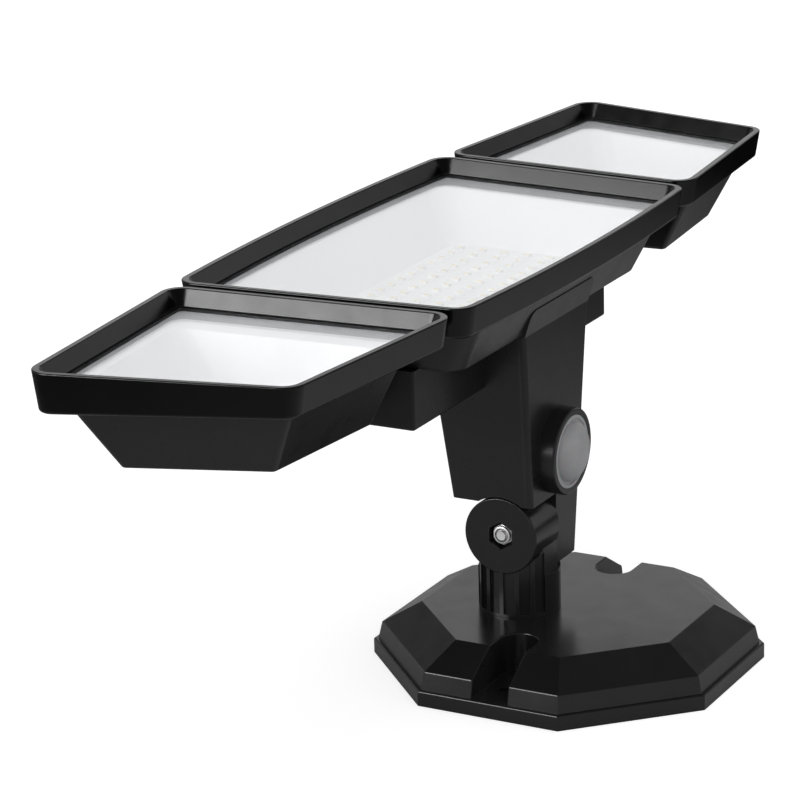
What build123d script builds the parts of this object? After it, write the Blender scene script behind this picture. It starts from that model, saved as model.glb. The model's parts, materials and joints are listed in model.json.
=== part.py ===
"""Security light: an octagonal wall base, a swivel post, a tilting neck with a motion sensor,
and a row of three lamps on a crossbar.

Millimetres, +Z up. The origin is the centre of the base, on its mounting face. The row of lamps
runs along X, the motion sensor looks along -Y and the lamps shine along +Z.
"""
from build123d import *
from math import hypot, radians
import os

os.makedirs("parts", exist_ok=True)

# Clearances and common fasteners
running_fit = 0.08
side_gap = 0.2
shell_wall = 2.5
screw_radius = 1.5
screw_head_radius = 2.7
screw_head_height = 2.0

# Base
base_flats = 150.0
base_height = 23.0
lip_height = 6.5
ledge_width = 1.8
shoulder_height = 13.7
shoulder_inset = 3.4
top_inset = 19.0
base_wall = 3.0
rim_width = 9.0
facet_round = 1.0
lip_round = 0.8
notch_round = 0.6
rib_spacing = 42.0
rib_thickness = 2.4
rib_height = 8.0
gasket_width = 4.0
gasket_height = 1.5
notch_width = 16.0
notch_end = 46.0
mount_hole_radius = 2.5
mount_hole_spacing = 118.0
terminal_length = 24.0
terminal_width = 13.0
terminal_height = 12.0
terminal_corner = 1.0
terminal_ways = 3
terminal_y = -36.0

# Hinge between post and neck
hinge_y = 17.5
hinge_z = 58.2
hinge_x = -4.0
barrel_radius = 16.2
barrel_length = 22.0
barrel_round = 0.6
bolt_radius = 2.5
nut_flats = 8.0
nut_height = 4.0
nut_recess_flats = 10.4
nut_recess_depth = 5.0
bolt_head_radius = 4.25
bolt_head_height = 5.0
bolt_end = 0.6
washer_radius = 5.0
washer_thickness = 1.0
head_recess_radius = 5.6
friction_radius = 12.0
friction_thickness = 1.2

# Post
post_radius = 17.0
post_top = 40.3
flute_count = 6
flute_pitch = 22.5
flute_depth = 1.6
rib_width = 1.7
foot_ring = 1.3
web_half_width = 15.0
spigot_radius = 9.0
spigot_length = 13.0
spigot_boss_wall = 6.0
swivel_screw_radius = 3.0
swivel_screw_grip = 12.0
swivel_head_radius = 5.0
swivel_head_height = 4.0
swivel_washer_radius = 13.0
swivel_washer_thickness = 2.0

# Neck, as a lower and an upper section, with the ear below
neck_bottom = 72.0
neck_low_half = 22.0
neck_low_front = 2.7
neck_low_back = 39.1
neck_top_half = 29.3
neck_top_front = 1.4
neck_top_back = 46.5
neck_corner = 1.5
neck_floor = 3.0
ear_radius = 17.2
arch_gap = 0.6
cover_thickness = 3.0
tab_height = 11.0
tab_corner = 4.0
tab_edge = 0.4
cover_boss_radius = 3.4
cover_boss_length = 5.0
neck_screw_x = 16.5
neck_screw_heights = (83.0, 136.0)
neck_screw_length = 6.0

# Motion sensor
sensor_z = 91.0
collar_radius = 18.0
collar_length = 7.4
collar_lip = 2.4
dome_flange_radius = 15.2
dome_radius = 12.5
dome_rise = 5.5
dome_wall = 1.0
dome_fullness = 0.55
flange_thickness = 1.4
flange_rim = 1.4
flange_step = 0.5
sensor_window_radius = 11.0
sensor_can_radius = 4.6
sensor_can_height = 4.2
board_thickness = 1.6
sensor_board_side = 24.0
standoff_radius = 2.2
sensor_standoff = 5.0
driver_width = 24.0
driver_height = 46.0
driver_z = 108.0
driver_standoff = 5.0
choke_radius = 6.0
choke_height = 9.0
capacitor_radius = 4.0
capacitor_height = 14.0

# Crossbar
crossbar_half_length = 87.5
crossbar_half_width = 30.0
crossbar_height = 24.0
crossbar_wall = 3.0
crossbar_round = 1.0

# Row of lamps, seen from above: u runs out from the middle, v from the centre line towards +Y
row_y = 50.7
centre_half_length = 107.2
centre_half_width = 61.3
centre_bow = 4.3
end_skew = 0.072
lamp_gap = 3.8
side_length = 113.2
side_inner_half = 60.4
side_outer_half = 49.7
outer_skew = 0.224
plan_corner = 9.0
least_corner = 2.0

# Lamp heights and the stack that closes each lamp
centre_rim_height = 12.5
side_rim_height = 14.3
rim_draft = 2.0
rim_width_top = 2.8
rim_edge = 0.5
rim_foot_edge = 1.4
lens_depth = 6.2
rim_lip_inset = 6.0
pocket_inset = 4.6
stack_clearance = 0.2
lens_thickness = 2.0
seal_height = 1.2
seal_width = 2.2
flange_height = 0.8
reflector_wall = 1.0
side_tray_foot = (29.0, 33.0, 25.0)
centre_floor = 146.3
centre_depth = 32.4
side_depth = 40.0
housing_inset = 4.5
centre_side_draft = 14.0
centre_end_draft = 21.8
centre_end_inset = 16.7
side_draft = 22.9
side_end_draft = 21.3
side_inset = 9.4
side_end_inset = 10.6
side_inner_wall = 24.0
side_lean = 0.04
side_shift = 2.0
ledge_recess = 0.6
housing_corner = 8.0
side_corner = 2.5
housing_round = 1.5
crossbar_screw_x = 60.0
crossbar_screw_v = 18.0
crossbar_screw_length = 14.0
crossbar_column_radius = 4.0

# LED boards
led_pitch_x = 8.93
led_pitch_y = 10.6
led_length = 3.5
led_width = 2.8
led_height = 0.8
window_margin = 6.0
board_margin = 3.0
centre_led_rows = 15
centre_led_columns = 6
side_led_rows = 5
side_led_columns = 4
board_post_radius = 3.0

# Side lamp knuckles
knuckle_spigot_radius = 6.0
knuckle_boss_length = 12.0
knuckle_boss_radius = 9.5
knuckle_collar_radius = 10.5
knuckle_collar_length = 4.0
knuckle_reach = 23.0
eye_radius = 8.0
eye_half_width = 5.0
lug_thickness = 5.0
lug_gap = 0.3
lug_wall_height = 15.0
pin_radius = 2.5
pin_head_radius = 4.5
pin_head_height = 3.0
knuckle_screw_radius = 2.0
knuckle_screw_length = 12.0
knuckle_screw_head_radius = 8.0
knuckle_screw_head_height = 2.5

# Places that follow from the sizes above
barrel_face_x = hinge_x - barrel_length
post_x = barrel_face_x + post_radius
post_y = hinge_y
neck_taper_height = centre_floor - neck_bottom
rim_top = centre_floor + centre_depth
side_floor = rim_top - side_depth
centre_rim_bottom = rim_top - centre_rim_height
side_rim_bottom = rim_top - side_rim_height
lens_top = rim_top - lens_depth
lens_bottom = lens_top - lens_thickness
seal_bottom = lens_bottom - seal_height
flange_bottom = seal_bottom - flange_height
stack_inset = pocket_inset + stack_clearance
crossbar_bottom = centre_floor - crossbar_height
knuckle_z = centre_floor - crossbar_height / 2
side_inner_u = centre_half_length + lamp_gap
side_outer_u = side_inner_u + side_length
side_slope = (side_outer_half - side_inner_half) / side_length
pin_u = crossbar_half_length + knuckle_reach
ear_bottom = hinge_z - ear_radius
mid_plane = Plane(origin=(hinge_x, 0, 0), x_dir=(0, 1, 0), z_dir=(1, 0, 0))


def save(part, name):
    """Label a finished piece and write it."""
    part.label = name
    export_step(part, f"parts/{name}.step")


def save_pair(part, name):
    """Write a side lamp piece for the right, and its mirror image for the left."""
    save(part, f"right_{name}")
    save(mirror(part, about=mid_plane), f"left_{name}")


def level(z, lean=0.0, shift=0.0):
    """Plane at height z, centred on the row of lamps or moved towards -Y by shift.

    It is horizontal, or drops by lean for each millimetre towards +Y."""
    return Plane(origin=(hinge_x, row_y - shift, z + lean * shift), x_dir=(1, 0, 0), z_dir=(0, lean, 1))


def hinge_plane(x):
    """Plane across the hinge axis at x, with its own X along +Y and its own Y up."""
    return Plane(origin=(x, hinge_y, hinge_z), x_dir=(0, 1, 0), z_dir=(1, 0, 0))


def octagon(inset, z):
    """Base outline at height z, drawn in from the widest outline."""
    with BuildSketch(Plane.XY.offset(z)) as outline:
        RegularPolygon(base_flats / 2 - inset, 8, major_radius=False, rotation=22.5)
    return outline.sketch


def between(low, high, share):
    return low + (high - low) * share


def neck_section(z, inset=0.0):
    """Cut through the tapered neck at height z, drawn in by inset."""
    share = (z - neck_bottom) / neck_taper_height
    half = between(neck_low_half, neck_top_half, share) - inset
    front = between(neck_low_front, neck_top_front, share) + inset
    back = between(neck_low_back, neck_top_back, share) - inset
    with BuildSketch(Plane(origin=(hinge_x, (front + back) / 2, z))) as section:
        RectangleRounded(2 * half, back - front, neck_corner)
    return section.sketch


def neck_front(z):
    return between(neck_low_front, neck_top_front, (z - neck_bottom) / neck_taper_height)


def neck_back(z):
    return between(neck_low_back, neck_top_back, (z - neck_bottom) / neck_taper_height)


# The seam between neck housing and cover lies one cover thickness behind the front face.
front_normal = (0, -neck_taper_height, neck_top_front - neck_low_front)
seam_plane = Plane(
    origin=(hinge_x, neck_low_front + cover_thickness, neck_bottom), x_dir=(1, 0, 0), z_dir=front_normal
)


class Outline:
    """Plan of one lamp: two slanted ends, u = place + skew * v, and two long sides,
    v = half + slope * u on the +Y side and its mirror image on the -Y side."""

    def __init__(self, low, high, half, slope, bow):
        self.low = low
        self.high = high
        self.half = half
        self.slope = slope
        self.bow = bow

    def corner(self, end, side, end_inset, side_inset):
        """Corner between an end line and a long side, both drawn in."""
        place, skew = end
        inward = 1 if end is self.low else -1
        place = place + inward * end_inset * hypot(1, skew)
        half = side * (self.half - side_inset * hypot(1, self.slope))
        slope = side * self.slope
        u = (place + skew * half) / (1 - skew * slope)
        return u, half + slope * u

    def face(self, plane, insets, radius, bow=0.0):
        """Face of the plan on a plane, with rounded corners.

        Insets are for the long sides, the low end and the high end."""
        sides, low, high = insets
        low_right = self.corner(self.low, -1, low, sides)
        high_right = self.corner(self.high, -1, high, sides)
        high_left = self.corner(self.high, 1, high, sides)
        low_left = self.corner(self.low, 1, low, sides)
        with BuildSketch(plane) as plan:
            with BuildLine():
                if bow:
                    middle = (low_right[0] + high_right[0]) / 2
                    ThreePointArc(low_right, (middle, low_right[1] - bow), high_right)
                    Line(high_right, high_left)
                    ThreePointArc(high_left, (middle, high_left[1] + bow), low_left)
                else:
                    Line(low_right, high_right)
                    Line(high_right, high_left)
                    Line(high_left, low_left)
                Line(low_left, low_right)
            make_face()
            fillet(plan.vertices(), radius)
        return plan.sketch

    def even(self, z, inset, lean=0.0):
        """Plan drawn in by the same inset all round, with its full bow."""
        radius = max(plan_corner - inset, least_corner)
        return self.face(level(z, lean), (inset, inset, inset), radius, self.bow)


centre_plan = Outline(
    (-centre_half_length, -end_skew), (centre_half_length, end_skew), centre_half_width, 0.0, centre_bow
)
side_plan = Outline(
    (side_inner_u, end_skew),
    (side_outer_u, outer_skew),
    side_inner_half - side_slope * side_inner_u,
    side_slope,
    0.0,
)

# Hollow under the base, which leaves ribs, the boss of the post and blocks round the notches
boss_radius = spigot_radius + spigot_boss_wall
boss_bottom = base_height - spigot_length
notch_block_inner = notch_end - notch_width / 2 - base_wall
notch_block_outer = base_flats / 2
with BuildPart() as base_hollow:
    extrude(octagon(rim_width, 0), shoulder_height - base_wall)
    loft(
        (octagon(rim_width, shoulder_height - base_wall), octagon(top_inset, base_height - base_wall)),
        ruled=True,
    )
    with BuildSketch(Plane.XY.offset(base_height)) as ribs:
        with GridLocations(rib_spacing, 0, 2, 1):
            Rectangle(rib_thickness, base_flats)
        with GridLocations(0, rib_spacing, 1, 2):
            Rectangle(base_flats, rib_thickness)
    extrude(amount=-base_wall - rib_height, mode=Mode.SUBTRACT)
    with BuildSketch(Plane.XY.offset(boss_bottom)) as boss:
        with Locations((post_x, post_y)):
            Circle(boss_radius)
    extrude(amount=spigot_length, mode=Mode.SUBTRACT)
    with BuildSketch(Plane.XY) as notch_blocks:
        with GridLocations(notch_block_inner + notch_block_outer, 0, 2, 1):
            Rectangle(notch_block_outer - notch_block_inner, notch_width + 2 * base_wall)
    extrude(amount=base_height, mode=Mode.SUBTRACT)

# Base plate: lip, skirt and bevels, with two screw notches that open through the skirt
with BuildPart() as base_plate:
    extrude(octagon(0, 0), lip_height)
    fillet(base_plate.edges().filter_by_position(Axis.Z, lip_height / 2, lip_height), lip_round)
    loft((octagon(ledge_width, lip_height), octagon(shoulder_inset, shoulder_height)), ruled=True)
    loft((octagon(shoulder_inset, shoulder_height), octagon(top_inset, base_height)), ruled=True)
    fillet(base_plate.edges().filter_by_position(Axis.Z, lip_height + ledge_width, base_height), facet_round)
    with BuildSketch(Plane.XY.offset(lip_height)) as notches:
        with GridLocations(2 * notch_end, 0, 2, 1):
            Circle(notch_width / 2)
        with GridLocations(2 * notch_end + base_flats / 2, 0, 2, 1):
            Rectangle(base_flats / 2, notch_width)
    extrude(amount=base_height, mode=Mode.SUBTRACT)
    notch_edges = base_plate.edges(Select.LAST).filter_by(Axis.Z, reverse=True)
    fillet(notch_edges.filter_by_position(Axis.Z, lip_height + notch_round, base_height), notch_round)
    add(base_hollow.part, mode=Mode.SUBTRACT)
    with Locations((post_x, post_y, base_height)):
        Hole(spigot_radius + running_fit)
    with GridLocations(mount_hole_spacing, 0, 2, 1):
        Hole(mount_hole_radius)
    with BuildSketch(Plane.XY) as gasket_groove:
        add(octagon((rim_width - gasket_width) / 2, 0))
        add(octagon((rim_width + gasket_width) / 2, 0), mode=Mode.SUBTRACT)
    extrude(amount=gasket_height, mode=Mode.SUBTRACT)
save(base_plate.part, "base_plate")

# Foam gasket, in the groove round the mounting face
with BuildPart() as base_gasket:
    with BuildSketch(Plane.XY) as gasket_ring:
        add(octagon((rim_width - gasket_width) / 2, 0))
        add(octagon((rim_width + gasket_width) / 2, 0), mode=Mode.SUBTRACT)
    extrude(amount=gasket_height)
save(base_gasket.part, "base_gasket")

# Terminal block, fixed under the top of the base
with BuildPart() as terminal_block:
    with BuildSketch(Plane.XY.offset(base_height - base_wall - terminal_height)) as terminal_plan:
        with Locations((0, terminal_y)):
            RectangleRounded(terminal_length, terminal_width, terminal_corner)
    extrude(amount=terminal_height)
    with BuildSketch(Plane.XY.offset(base_height - base_wall - terminal_height)) as terminal_bores:
        with Locations((0, terminal_y)):
            with GridLocations(terminal_length / terminal_ways, 0, terminal_ways, 1):
                Circle(screw_radius)
    extrude(amount=terminal_height / 2, mode=Mode.SUBTRACT)
save(terminal_block.part, "terminal_block")

# Swivel post: fluted foot, web and sideways barrel, with a spigot that turns in the base
flute_bottom = base_height + foot_ring
flute_top = hinge_z - barrel_radius / 2
flute_width = radians(flute_pitch) * post_radius - rib_width
spigot_bottom = boss_bottom - side_gap
post_axis = Plane(origin=(post_x, post_y, 0))
with BuildPart() as barrel:
    with BuildSketch(hinge_plane(barrel_face_x)) as barrel_outline:
        Circle(barrel_radius)
    extrude(amount=barrel_length - side_gap)
    fillet(barrel.edges().sort_by(Axis.X)[0], barrel_round)
with BuildPart() as swivel_post:
    with BuildSketch(post_axis.offset(base_height + running_fit)) as foot:
        Circle(post_radius)
    extrude(amount=post_top - base_height - running_fit)
    with BuildSketch(Plane.XY.offset(post_top)) as web:
        with Locations((post_x, post_y)):
            Circle(post_radius)
        with Locations((barrel_face_x + barrel_length / 2 - side_gap / 2, post_y)):
            Rectangle(barrel_length - side_gap, 2 * web_half_width, mode=Mode.INTERSECT)
    extrude(amount=hinge_z - post_top)
    flute_range = flute_pitch * (flute_count - 1)
    with BuildSketch(post_axis.offset(flute_bottom)) as flutes:
        with PolarLocations(
            post_radius,
            flute_count,
            start_angle=180 - flute_range / 2,
            angular_range=flute_range,
            endpoint=True,
        ):
            Rectangle(2 * flute_depth, flute_width)
    extrude(amount=flute_top - flute_bottom, mode=Mode.SUBTRACT)
    add(barrel.part)
    with BuildSketch(post_axis.offset(spigot_bottom)) as spigot:
        Circle(spigot_radius)
    extrude(amount=post_top - spigot_bottom)
    with BuildSketch(post_axis.offset(spigot_bottom)) as swivel_thread:
        Circle(swivel_screw_radius)
    extrude(amount=swivel_screw_grip, mode=Mode.SUBTRACT)
    with BuildSketch(hinge_plane(barrel_face_x)) as bolt_bore:
        Circle(bolt_radius + running_fit)
    extrude(amount=barrel_length, mode=Mode.SUBTRACT)
    with BuildSketch(hinge_plane(barrel_face_x)) as nut_recess:
        RegularPolygon(nut_recess_flats / 2, 6, major_radius=False, rotation=30)
    extrude(amount=nut_recess_depth, mode=Mode.SUBTRACT)
    with BuildSketch(hinge_plane(hinge_x)) as friction_recess:
        Circle(friction_radius + running_fit)
    extrude(amount=-friction_thickness - side_gap / 2, mode=Mode.SUBTRACT)
save(swivel_post.part, "swivel_post")

# Washer and screw that hold the spigot in the base from below
with BuildPart() as swivel_washer:
    with BuildSketch(post_axis.offset(spigot_bottom)) as swivel_ring:
        Circle(swivel_washer_radius)
        Circle(swivel_screw_radius, mode=Mode.SUBTRACT)
    extrude(amount=-swivel_washer_thickness)
save(swivel_washer.part, "swivel_washer")

with BuildPart() as swivel_screw:
    with BuildSketch(post_axis.offset(spigot_bottom - swivel_washer_thickness)) as swivel_shank:
        Circle(swivel_screw_radius)
    extrude(amount=swivel_washer_thickness + swivel_screw_grip)
    with BuildSketch(post_axis.offset(spigot_bottom - swivel_washer_thickness)) as swivel_head:
        Circle(swivel_head_radius)
    extrude(amount=-swivel_head_height)
    with BuildSketch(post_axis.offset(spigot_bottom - swivel_washer_thickness - swivel_head_height)):
        RegularPolygon(swivel_head_radius / 2, 6)
    extrude(amount=swivel_head_height / 2, mode=Mode.SUBTRACT)
save(swivel_screw.part, "swivel_screw")

# Pivot hardware, all along the hinge axis
with BuildPart() as friction_washer:
    with BuildSketch(hinge_plane(hinge_x - side_gap / 2)) as friction_ring:
        Circle(friction_radius)
        Circle(bolt_radius + running_fit, mode=Mode.SUBTRACT)
    extrude(amount=-friction_thickness)
save(friction_washer.part, "friction_washer")

with BuildPart() as pivot_nut:
    with BuildSketch(hinge_plane(barrel_face_x + nut_recess_depth)) as nut_outline:
        RegularPolygon(nut_flats / 2, 6, major_radius=False, rotation=30)
        Circle(bolt_radius, mode=Mode.SUBTRACT)
    extrude(amount=-nut_height)
save(pivot_nut.part, "pivot_nut")

ear_side_x = hinge_x + between(neck_low_half, neck_top_half, (hinge_z - neck_bottom) / neck_taper_height)
head_seat_x = ear_side_x - bolt_head_height - washer_thickness
with BuildPart() as pivot_washer:
    with BuildSketch(hinge_plane(head_seat_x)) as pivot_ring:
        Circle(washer_radius)
        Circle(bolt_radius + running_fit, mode=Mode.SUBTRACT)
    extrude(amount=washer_thickness)
save(pivot_washer.part, "pivot_washer")

with BuildPart() as pivot_bolt:
    with BuildSketch(hinge_plane(barrel_face_x + bolt_end)) as bolt_shank:
        Circle(bolt_radius)
    extrude(amount=head_seat_x + washer_thickness - barrel_face_x - bolt_end)
    with BuildSketch(hinge_plane(head_seat_x + washer_thickness)) as bolt_head:
        Circle(bolt_head_radius)
    extrude(amount=bolt_head_height)
    with BuildSketch(hinge_plane(ear_side_x)) as bolt_socket:
        RegularPolygon(bolt_head_radius / 2, 6)
    extrude(amount=-bolt_head_height / 2, mode=Mode.SUBTRACT)
save(pivot_bolt.part, "pivot_bolt")


def facing_back(y):
    """Upright plane at y that looks along +Y, centred on the neck, with its own Y up."""
    return Plane(origin=(hinge_x, y, 0), x_dir=(-1, 0, 0), z_dir=(0, 1, 0))


# Ear of the neck, beside the barrel: square towards the sensor, round behind
with BuildPart() as ear:
    loft((neck_section(ear_bottom), neck_section(neck_bottom)), ruled=True)
    with BuildSketch(hinge_plane(hinge_x)) as ear_outline:
        with BuildLine():
            Line((-2 * ear_radius, -ear_radius), (0, -ear_radius))
            CenterArc((0, 0), ear_radius, -90, 90)
            Line((ear_radius, 0), (ear_radius, neck_bottom - hinge_z))
            Line((ear_radius, neck_bottom - hinge_z), (-2 * ear_radius, neck_bottom - hinge_z))
            Line((-2 * ear_radius, neck_bottom - hinge_z), (-2 * ear_radius, -ear_radius))
        make_face()
    extrude(amount=neck_top_half, mode=Mode.INTERSECT)

# Neck housing: hollow behind the seam, arched over the barrel, with tubes for the cover's screws
arch_radius = barrel_radius + arch_gap
cavity_bottom = hinge_z + arch_radius + neck_floor
driver_back_y = neck_back(driver_z - driver_height / 2) - shell_wall - driver_standoff
with BuildPart() as neck_housing:
    loft((neck_section(neck_bottom), neck_section(centre_floor)), ruled=True)
    split(bisect_by=seam_plane, keep=Keep.BOTTOM)
    loft(
        (neck_section(cavity_bottom, shell_wall), neck_section(centre_floor, shell_wall)),
        ruled=True,
        mode=Mode.SUBTRACT,
    )
    add(ear.part)
    with BuildSketch(hinge_plane(barrel_face_x - barrel_length)) as arch:
        Circle(arch_radius)
    extrude(amount=2 * barrel_length, mode=Mode.SUBTRACT)
    for height in neck_screw_heights:
        tube_front = neck_front(height) + cover_thickness + cover_boss_length
        tube_back = neck_back(height) - shell_wall / 2
        with BuildSketch(facing_back(tube_front)) as tubes:
            with Locations((neck_screw_x, height), (-neck_screw_x, height)):
                Circle(cover_boss_radius)
        extrude(amount=tube_back - tube_front)
        with BuildSketch(facing_back(tube_front)) as tube_bores:
            with Locations((neck_screw_x, height), (-neck_screw_x, height)):
                Circle(screw_radius + running_fit)
        extrude(amount=2 * neck_top_back, mode=Mode.SUBTRACT)
        with BuildSketch(facing_back(tube_front + screw_head_height)) as tube_counterbores:
            with Locations((neck_screw_x, height), (-neck_screw_x, height)):
                Circle(screw_head_radius + running_fit)
        extrude(amount=2 * neck_top_back, mode=Mode.SUBTRACT)
    with BuildSketch(facing_back(driver_back_y)) as driver_standoffs:
        with Locations((0, driver_z)):
            with GridLocations(0, driver_height - 4 * standoff_radius, 1, 2):
                Circle(standoff_radius)
    extrude(until=Until.NEXT)
    with BuildSketch(hinge_plane(hinge_x)) as ear_bore:
        Circle(bolt_radius + running_fit)
    extrude(amount=2 * neck_top_half, mode=Mode.SUBTRACT)
    with BuildSketch(hinge_plane(head_seat_x)) as head_recess:
        Circle(head_recess_radius)
    extrude(amount=neck_top_half, mode=Mode.SUBTRACT)
save(neck_housing.part, "neck_housing")


def lamp_side_y(z):
    """Where the -Y side of the middle lamp's housing is at height z."""
    share = (z - centre_floor) / (centre_rim_bottom - centre_floor)
    return row_y - centre_half_width + between(centre_side_draft, housing_inset, share)


# Tab of the neck cover, a thin wedge that lies on the side of the middle lamp
tab_top = centre_floor + tab_height
with BuildPart() as cover_tab:
    with BuildSketch(Plane(origin=(hinge_x, 0, 0), x_dir=(0, 1, 0), z_dir=(1, 0, 0))) as tab_profile:
        with BuildLine():
            Polyline(
                (neck_top_front, centre_floor),
                (lamp_side_y(tab_top) - tab_edge, tab_top),
                (lamp_side_y(tab_top), tab_top),
                (lamp_side_y(centre_floor), centre_floor),
                close=True,
            )
        make_face()
    extrude(amount=neck_top_half, both=True)
    with BuildSketch(facing_back(-base_flats / 2)) as tab_face:
        with Locations((0, tab_top - neck_top_half)):
            RectangleRounded(2 * neck_top_half, 2 * neck_top_half, tab_corner)
    extrude(amount=base_flats, mode=Mode.INTERSECT)

# Neck cover: the front face of the neck, its tab, screw bosses and posts for the sensor board
sensor_plane = Plane(
    origin=(hinge_x, neck_front(sensor_z), sensor_z), x_dir=(1, 0, 0), z_dir=front_normal
)
standoff_spacing = sensor_board_side - 2 * standoff_radius
with BuildPart() as neck_cover:
    loft((neck_section(neck_bottom), neck_section(centre_floor)), ruled=True)
    split(bisect_by=seam_plane, keep=Keep.TOP)
    add(cover_tab.part)
    for height in neck_screw_heights:
        boss_front = neck_front(height) + cover_thickness / 2
        boss_back = neck_front(height) + cover_thickness + cover_boss_length
        with BuildSketch(facing_back(boss_front)) as cover_bosses:
            with Locations((neck_screw_x, height), (-neck_screw_x, height)):
                Circle(cover_boss_radius)
        extrude(amount=boss_back - boss_front)
        with BuildSketch(facing_back(boss_back)) as cover_threads:
            with Locations((neck_screw_x, height), (-neck_screw_x, height)):
                Circle(screw_radius)
        extrude(amount=-neck_screw_length, mode=Mode.SUBTRACT)
    with BuildSketch(sensor_plane.offset(-cover_thickness / 2)) as sensor_posts:
        with GridLocations(standoff_spacing, standoff_spacing, 2, 2):
            Circle(standoff_radius)
    extrude(amount=-sensor_standoff - cover_thickness / 2)
    with BuildSketch(sensor_plane) as sensor_window:
        Circle(sensor_window_radius)
    extrude(amount=-cover_thickness, mode=Mode.SUBTRACT)
save(neck_cover.part, "neck_cover")

# Four screws that hold the cover, driven from behind through the tubes
with BuildPart() as neck_screws:
    for height in neck_screw_heights:
        screw_seat = neck_front(height) + cover_thickness + cover_boss_length + screw_head_height
        with BuildSketch(facing_back(screw_seat)) as neck_shanks:
            with Locations((neck_screw_x, height), (-neck_screw_x, height)):
                Circle(screw_radius)
        extrude(amount=-screw_head_height - neck_screw_length)
        with BuildSketch(facing_back(screw_seat)) as neck_heads:
            with Locations((neck_screw_x, height), (-neck_screw_x, height)):
                Circle(screw_head_radius)
        extrude(amount=screw_head_height)
save(neck_screws.part, "neck_screws")

# Motion sensor: collar on the neck's face, dome, sensor can and its board
flange_seat = flange_thickness + side_gap
dome_inside = dome_radius - dome_wall
with BuildPart() as sensor_collar:
    with BuildSketch(sensor_plane) as collar_outline:
        Circle(collar_radius)
    extrude(amount=collar_length)
    fillet(sensor_collar.edges().sort_by(Axis.Y)[0], collar_lip / 3)
    with BuildSketch(sensor_plane) as collar_bore:
        Circle(dome_inside)
    extrude(amount=collar_length, mode=Mode.SUBTRACT)
    with BuildSketch(sensor_plane.offset(collar_length)) as flange_recess:
        Circle(dome_flange_radius + side_gap)
    extrude(amount=-flange_seat, mode=Mode.SUBTRACT)
save(sensor_collar.part, "sensor_collar")


def dome_curve(radius, foot, apex):
    """Quarter of a near ellipse: upright at its foot and level at its apex."""
    shoulder = foot + dome_fullness * (apex - foot)
    return Bezier((radius, foot), (radius, shoulder), (dome_fullness * radius, apex), (0, apex))


dome_foot = flange_thickness - flange_step
dome_apex = flange_thickness + dome_rise
dome_origin = sensor_plane.offset(collar_length - flange_seat)
dome_plane = Plane(origin=dome_origin.origin, x_dir=(1, 0, 0), z_dir=(0, -front_normal[2], front_normal[1]))
with BuildPart() as sensor_lens:
    with BuildSketch(dome_plane) as dome_profile:
        with BuildLine():
            Polyline(
                (dome_inside, 0),
                (dome_flange_radius, 0),
                (dome_flange_radius, flange_thickness),
                (dome_flange_radius - flange_rim, flange_thickness),
                (dome_flange_radius - flange_rim, dome_foot),
                (dome_radius, dome_foot),
            )
            dome_curve(dome_radius, dome_foot, dome_apex)
            Line((0, dome_apex), (0, dome_apex - dome_wall))
            dome_curve(dome_inside, 0, dome_apex - dome_wall)
        make_face()
    revolve(axis=Axis(dome_plane.origin, dome_plane.y_dir))
save(sensor_lens.part, "sensor_lens")

board_plane = sensor_plane.offset(-cover_thickness - sensor_standoff)
with BuildPart() as sensor_board:
    with BuildSketch(board_plane) as sensor_board_outline:
        Rectangle(sensor_board_side, sensor_board_side)
    extrude(amount=-board_thickness)
save(sensor_board.part, "sensor_board")

with BuildPart() as motion_sensor:
    with BuildSketch(board_plane) as sensor_foot:
        Circle(sensor_can_radius)
    extrude(amount=sensor_can_height / 6)
    with BuildSketch(board_plane) as sensor_can:
        Circle(sensor_can_radius - shell_wall / 4)
    extrude(amount=sensor_can_height)
save(motion_sensor.part, "motion_sensor")

# Driver board on two posts at the back of the neck, with its larger parts
with BuildPart() as driver_board:
    with BuildSketch(facing_back(driver_back_y)) as driver_outline:
        with Locations((0, driver_z)):
            Rectangle(driver_width, driver_height)
    extrude(amount=-board_thickness)
save(driver_board.part, "driver_board")

driver_face = facing_back(driver_back_y - board_thickness)
with BuildPart() as driver_parts:
    with BuildSketch(driver_face) as choke:
        with Locations((0, driver_z + driver_height / 4)):
            Circle(choke_radius)
    extrude(amount=-choke_height)
    with BuildSketch(driver_face) as capacitors:
        with Locations((0, driver_z - driver_height / 4)):
            with GridLocations(driver_width / 2, 0, 2, 1):
                Circle(capacitor_radius)
    extrude(amount=-capacitor_height)
save(driver_parts.part, "driver_parts")

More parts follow.
